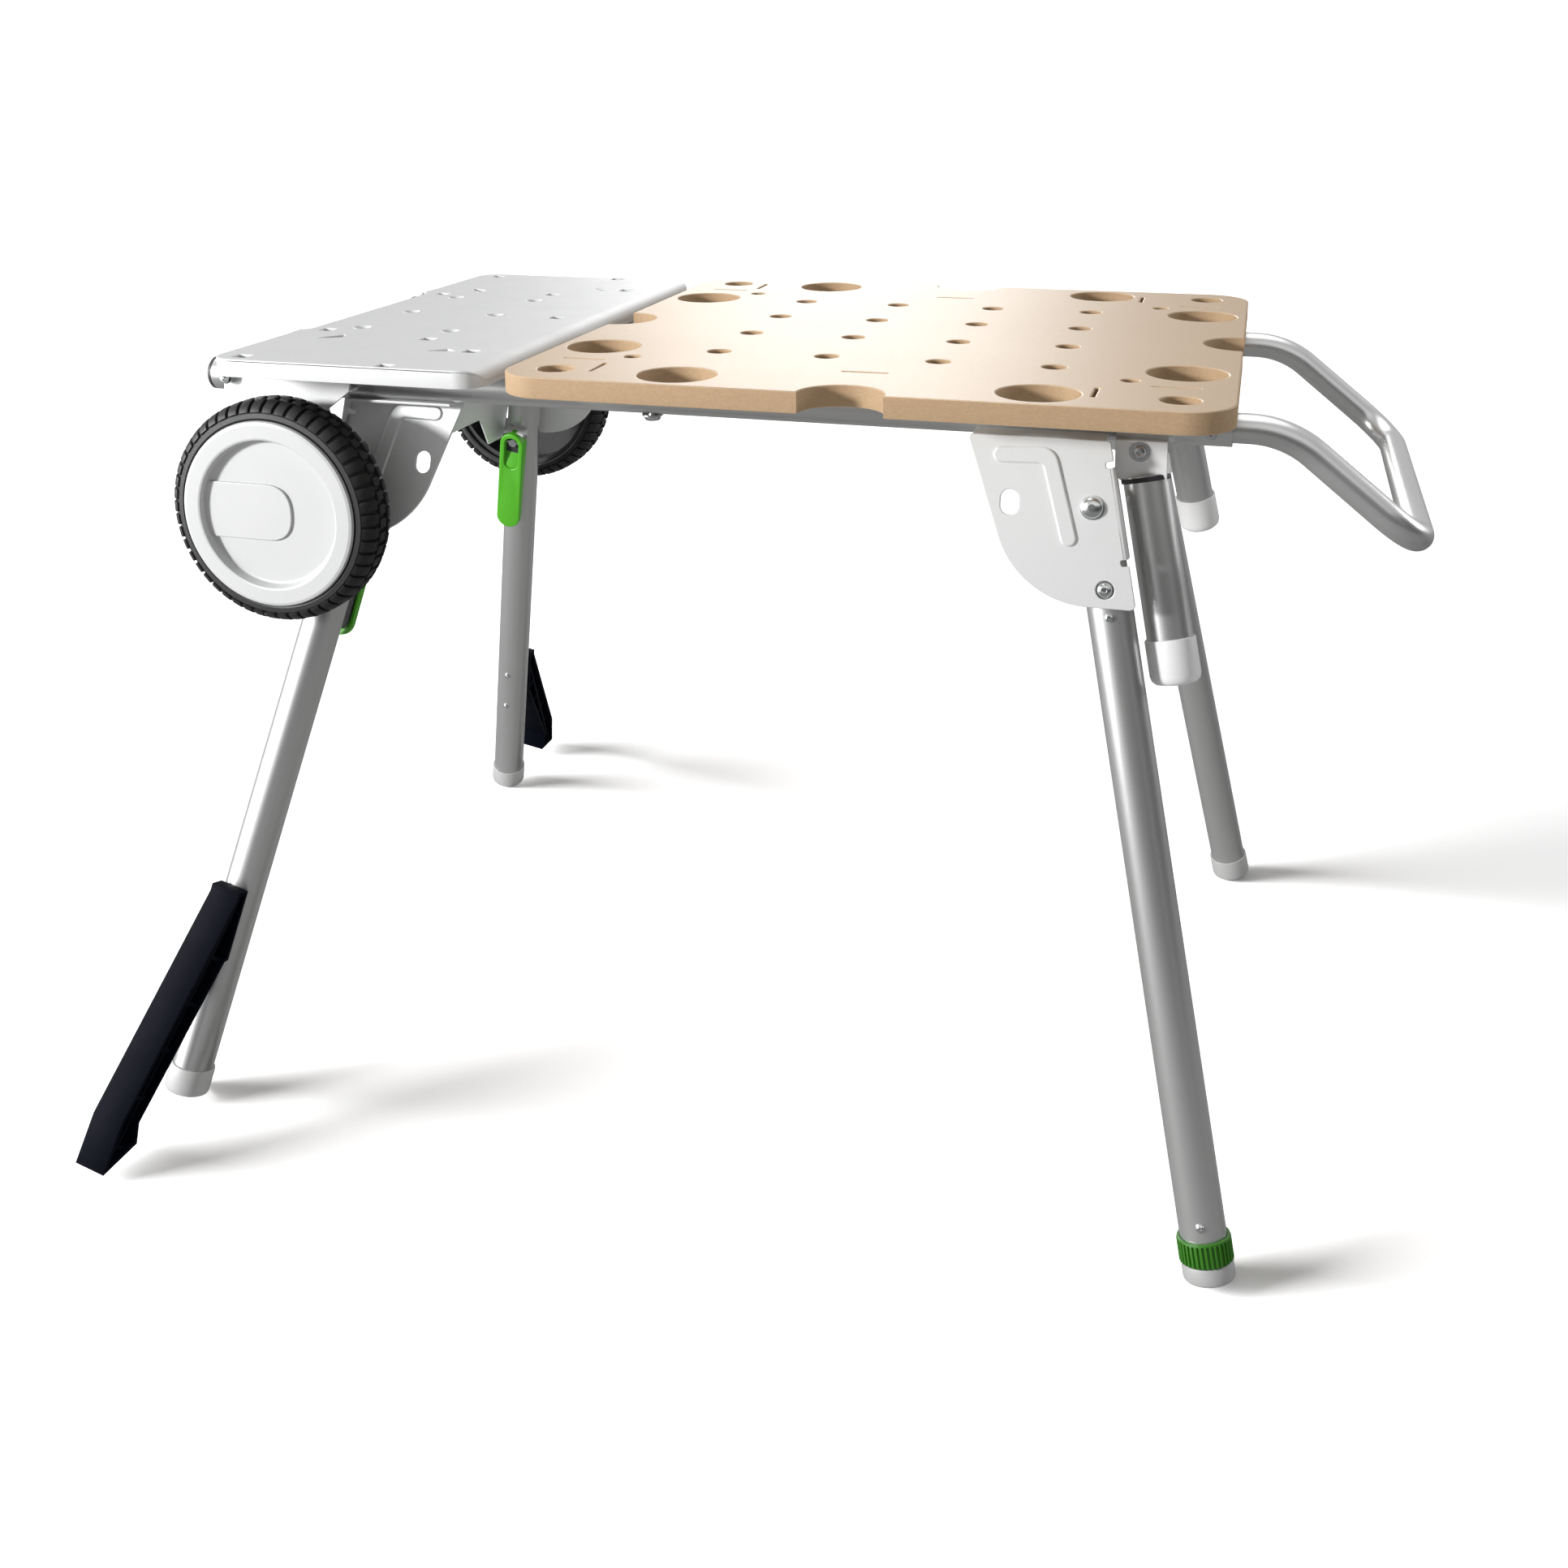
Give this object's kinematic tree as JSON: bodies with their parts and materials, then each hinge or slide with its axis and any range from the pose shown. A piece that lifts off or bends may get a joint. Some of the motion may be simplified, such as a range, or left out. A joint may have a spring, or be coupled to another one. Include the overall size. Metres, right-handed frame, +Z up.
{
  "type": "folding saw stand",
  "caption": "Folding stand with a perforated worktop board and a moulded platform on two rails, splayed legs, wheels at one end and a U-shaped handle at the other.",
  "frame": {"origin": "middle of the footprint's bounding box, on the floor", "axes": "+X from the wheels towards the handle, +Y away from the viewer, +Z up"},
  "size_m": [1.068, 0.9326, 0.6753],
  "materials": {
    "board": "uncoated fibreboard, smooth",
    "platform": "moulded, satin",
    "tube": "drawn tube, satin anodised",
    "plate": "pressed sheet, zinc coated",
    "bright": "zinc plated",
    "cap": "moulded, matte",
    "black": "moulded, matte",
    "green": "moulded, satin",
    "rubber": "moulded rubber",
    "hub": "moulded, satin"
  },
  "bodies": {
    "stand_frame": {"worktop_board": "board", "platform_plate": "platform", "rail_front": "tube", "rail_back": "tube", "rail_cap_front": "black", "rail_cap_back": "black", "handle_tube": "tube", "cross_member_middle": "plate", "cross_tube_right": "tube", "bracket_right_front": "plate", "bracket_right_back": "plate", "bracket_left_front": "plate", "bracket_left_back": "plate", "pivot_bolt_right_front": "bright", "pivot_bolt_right_back": "bright", "pivot_bolt_left_front": "bright", "pivot_bolt_left_back": "bright", "cross_plate_left": "plate", "wheel_axle": "bright", "wheel_gusset_front": "plate", "wheel_gusset_back": "plate", "stub_tube_front": "tube", "stub_tube_back": "tube", "stub_cap_front": "cap", "stub_cap_back": "cap", "stub_holder_front": "bright", "stub_holder_back": "bright", "board_bolt_right_front": "bright", "board_bolt_right_back": "bright", "board_bolt_left_front": "bright", "board_bolt_left_back": "bright"},
    "leg_right_front": {"leg_tube_right_front": "tube"},
    "leg_right_back": {"leg_tube_right_back": "tube", "foot_cap_right_back": "cap"},
    "leg_left_front": {"leg_tube_left_front": "tube", "foot_cap_left_front": "cap", "lever_mount_front": "plate", "lever_hinge_pin_front": "bright", "side_fin_front": "black"},
    "leg_left_back": {"leg_tube_left_back": "tube", "foot_cap_left_back": "cap", "lever_mount_back": "plate", "lever_hinge_pin_back": "bright", "side_fin_back": "black"},
    "levelling_ring": {"level_ring": "green"},
    "levelling_pad": {"level_pad": "cap"},
    "latch_right_front": {"latch_pin_right_front": "bright"},
    "latch_right_back": {"latch_pin_right_back": "bright"},
    "latch_left_front": {"latch_pin_left_front": "bright", "latch_cross_pin_front": "bright"},
    "latch_left_back": {"latch_pin_left_back": "bright", "latch_cross_pin_back": "bright"},
    "lever_front": {"latch_lever_front": "green"},
    "lever_back": {"latch_lever_back": "green"},
    "wheel_front": {"tyre_front": "rubber", "hub_front": "hub"},
    "wheel_back": {"tyre_back": "rubber", "hub_back": "hub"}
  },
  "joints": [
    {"name": "fold_right_front", "type": "hinge", "parent": "stand_frame", "child": "leg_right_front", "pos_m": [0.27834, -0.216, 0.58029], "axis": [0, 0.9793, -0.2023], "range_deg": [0, 101.4]},
    {"name": "fold_left_front", "type": "hinge", "parent": "stand_frame", "child": "leg_left_front", "pos_m": [-0.38066, -0.168, 0.57129], "axis": [0, -0.9558, 0.2941], "range_deg": [0, 96.3]},
    {"name": "latch_slide_right_front", "type": "slide", "parent": "leg_right_front", "child": "latch_right_front", "axis": [0, 0.9793, -0.2023], "range_m": [0, 0.006], "stiffness_N_per_m": 400},
    {"name": "latch_slide_left_front", "type": "slide", "parent": "leg_left_front", "child": "latch_left_front", "axis": [0, 0.9558, -0.2941], "range_m": [0, 0.007]},
    {"name": "lever_front_lift", "type": "hinge", "parent": "leg_left_front", "child": "lever_front", "pos_m": [-0.39244, -0.1591, 0.5118], "axis": [0.9772, -0.0624, -0.2029], "range_deg": [0, 35], "stiffness_Nm_per_rad": 0.15},
    {"name": "wheel_front_spin", "type": "hinge", "parent": "stand_frame", "child": "wheel_front", "pos_m": [-0.42066, -0.261, 0.53929], "axis": [0, 1, 0], "continuous": true},
    {"name": "fold_right_back", "type": "hinge", "parent": "stand_frame", "child": "leg_right_back", "pos_m": [0.27834, 0.216, 0.58029], "axis": [0, 0.9793, 0.2023], "range_deg": [0, 101.4]},
    {"name": "fold_left_back", "type": "hinge", "parent": "stand_frame", "child": "leg_left_back", "pos_m": [-0.38066, 0.168, 0.57129], "axis": [0, -0.9558, -0.2941], "range_deg": [0, 96.3]},
    {"name": "latch_slide_right_back", "type": "slide", "parent": "leg_right_back", "child": "latch_right_back", "axis": [0, -0.9793, -0.2023], "range_m": [0, 0.006], "stiffness_N_per_m": 400},
    {"name": "latch_slide_left_back", "type": "slide", "parent": "leg_left_back", "child": "latch_left_back", "axis": [0, -0.9558, -0.2941], "range_m": [0, 0.007]},
    {"name": "lever_back_lift", "type": "hinge", "parent": "leg_left_back", "child": "lever_back", "pos_m": [-0.39244, 0.1591, 0.5118], "axis": [-0.9772, -0.0624, 0.2029], "range_deg": [0, 35], "stiffness_Nm_per_rad": 0.15},
    {"name": "wheel_back_spin", "type": "hinge", "parent": "stand_frame", "child": "wheel_back", "pos_m": [-0.42066, 0.261, 0.53929], "axis": [0, 1, 0], "continuous": true},
    {"name": "level_ring_turn", "type": "hinge", "parent": "leg_right_front", "child": "levelling_ring", "pos_m": [0.27834, -0.216, 0.58029], "axis": [0.1983, -0.1983, -0.9599], "range_deg": [0, 1080]},
    {"name": "level_pad_slide", "type": "slide", "parent": "leg_right_front", "child": "levelling_pad", "axis": [0.1983, -0.1983, -0.9599], "range_m": [0, 0.0062]}
  ],
  "couplings": [
    {"joint": "latch_slide_left_front", "follows": "lever_front_lift", "m_per_rad": 0.0108},
    {"joint": "latch_slide_left_back", "follows": "lever_back_lift", "m_per_rad": 0.0108},
    {"joint": "level_pad_slide", "follows": "level_ring_turn", "m_per_rad": 0.00031831}
  ]
}
